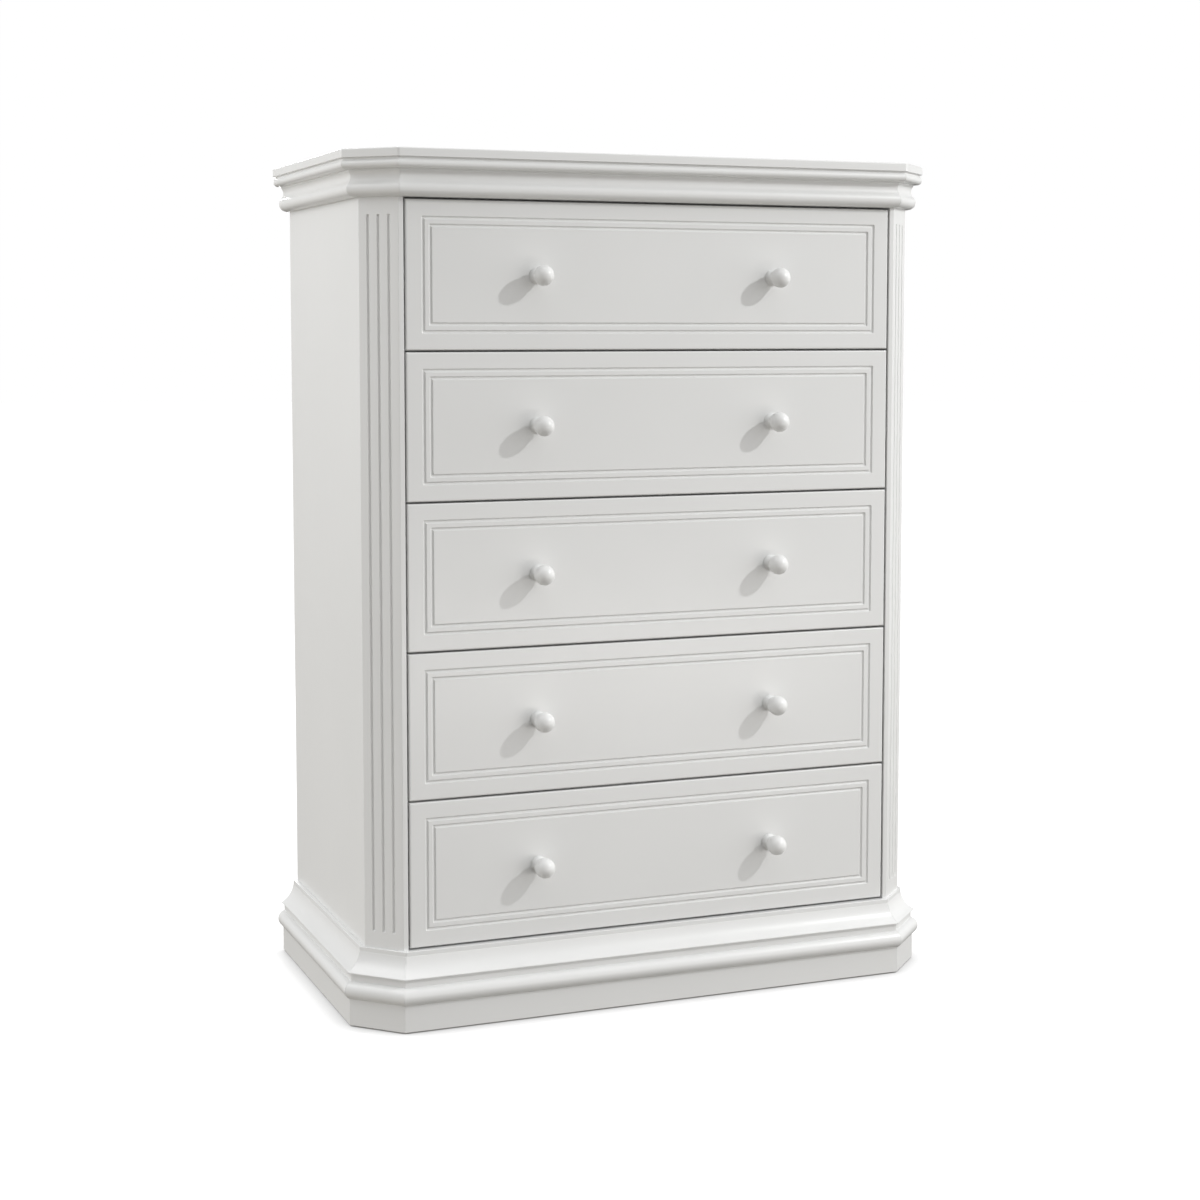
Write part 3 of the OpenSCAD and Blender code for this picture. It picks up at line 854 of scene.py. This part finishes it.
def glow_material(name, diffuse):
    """A matt paint that glows white."""
    material = bpy.data.materials.new(name)
    material.use_nodes = True
    tree = material.node_tree
    shader = tree.nodes["Principled BSDF"]
    shader.inputs["Base Color"].default_value = (*diffuse, 1)
    shader.inputs["Roughness"].default_value = 0.9
    shader.inputs["Specular IOR Level"].default_value = 0.1
    shader.inputs["Emission Color"].default_value = (1, 1, 1, 1)
    shader.inputs["Emission Strength"].default_value = 1.0
    return material


def stage_object(name, work, paint):
    """A stage piece that the camera sees, but that neither bounces light nor casts a shadow."""
    mesh = bpy.data.meshes.new(name)
    work.to_mesh(mesh)
    work.free()
    mesh.materials.append(paint)
    piece = bpy.data.objects.new(name, mesh)
    SCENE.collection.objects.link(piece)
    piece.visible_diffuse = False
    piece.visible_glossy = False
    piece.visible_shadow = False
    return piece


def make_stage():
    """A pale floor and a white backdrop. The world's low light comes up through the floor.

    So the dark line where the chest stands on it is painted shade: an ambient occlusion node darkens the
    floor's glow there.
    """
    paint = glow_material("floor_paint", (0.40, 0.40, 0.40))
    tree = paint.node_tree
    # Painted contact shadow: an ambient occlusion node darkens the floor's glow near the chest
    painted_contact_shade = tree.nodes.new("ShaderNodeAmbientOcclusion")
    painted_contact_shade.samples = 12
    painted_contact_shade.inputs["Distance"].default_value = CONTACT_SHADE_REACH
    glow = math_node(tree, "MULTIPLY", painted_contact_shade.outputs["AO"], FLOOR_GLOW)
    tree.links.new(glow, tree.nodes["Principled BSDF"].inputs["Emission Strength"])
    work = bmesh.new()
    bmesh.ops.create_circle(work, cap_ends=True, radius=FLOOR_R, segments=96)
    floor = stage_object("floor", work, paint)

    work = bmesh.new()
    bmesh.ops.create_uvsphere(work, u_segments=48, v_segments=24, radius=BACKDROP_R)
    backdrop = stage_object("backdrop", work, glow_material("backdrop_paint", (0, 0, 0)))
    backdrop.visible_transmission = False


# Soft light from all round, as broad lobes: (direction it comes from, strength). The strengths began
# as a least-squares fit to the photograph's tones, and some were then changed.
SKY_LOBES = (
    ((0, 0, 1), 1.45), ((-1, 0, 0.2), 0.90), ((-1, 1, 0.3), 0.82), ((-1, 0, -0.8), 0.65),
    ((1, 0, 0.2), 0.65), ((1, -1, 0.3), 1.20)
)
LOBE_POWER = 4
# A timber floor's tint in the light that comes up from below, and a fainter one in the low front light
LOW_TINT = (1.0, 0.93, 0.82)
FAINT_TINT = (1.0, 0.97, 0.94)


def make_world():
    world = bpy.data.worlds.new("world")
    SCENE.world = world
    world.use_nodes = True
    tree = world.node_tree
    background = tree.nodes["Background"]
    normalised = tree.nodes.new("ShaderNodeVectorMath")
    normalised.operation = "NORMALIZE"
    tree.links.new(tree.nodes.new("ShaderNodeTexCoord").outputs["Generated"], normalised.inputs[0])
    direction = normalised.outputs["Vector"]
    total = 0.0
    for toward, strength in SKY_LOBES:
        dot = tree.nodes.new("ShaderNodeVectorMath")
        dot.operation = "DOT_PRODUCT"
        tree.links.new(direction, dot.inputs[0])
        dot.inputs[1].default_value = Vector(toward).normalized()
        facing = math_node(tree, "MAXIMUM", dot.outputs["Value"], 0)
        lobe = math_node(tree, "POWER", facing, LOBE_POWER)
        total = math_node(tree, "ADD", total, math_node(tree, "MULTIPLY", lobe, strength))
    tree.links.new(total, background.inputs["Strength"])

    split = tree.nodes.new("ShaderNodeSeparateXYZ")
    tree.links.new(direction, split.inputs[0])
    tint = tree.nodes.new("ShaderNodeMix")
    tint.data_type = "RGBA"
    tint.inputs[6].default_value = (1, 1, 1, 1)
    tint.inputs[7].default_value = (*LOW_TINT, 1)
    below = math_node(tree, "MAXIMUM", math_node(tree, "MULTIPLY", split.outputs[2], -2), 0)
    tree.links.new(math_node(tree, "MINIMUM", below, 1), tint.inputs[0])
    tree.links.new(tint.outputs[2], background.inputs["Color"])


def make_lights():
    make_world()
    area_light("key", KEY_PLACE, size=(0.14, 0.14), energy=55, at=(0, -0.2, 0.8), shape="DISK")
    area_light("left_softbox", (-2.3, 0.4, 2.2), size=(1.6, 1.4), energy=18, at=(-0.47, 0.1, 0.9))
    area_light("right_strip", (1.9, -0.5, 1.2), size=(0.6, 2.0), energy=6.5, at=(0.5, -0.2, 0.7))
    area_light(
        "low_front", (0.5, -2.4, 0.22), size=(1.8, 0.3), energy=7.5, at=(0.1, -0.25, 0.2),
        colour=FAINT_TINT
    )
    area_light("rear_fill", (0, 3.0, 1.7), size=(0.8, 1.2), energy=30, at=(0, 0.27, 0.8))


# ---- Build ----

make_camera()
make_stage()
make_lights()
SCENE.view_settings.view_transform = "Standard"

moulding_pieces("crown", crown_profile(), CROWN_Z)
moulding_pieces("base_cap", base_cap_profile(), BASE_Z)
moulding_pieces("plinth", plinth_profile(), BASE_Z)
top_panel()
corner_post()
back_pins()
for number in DRAWERS:
    drawer_front(number)
    knobs(number)
    drawer_screws(number)
    ball_cages(number)
finish_cad_nodes()
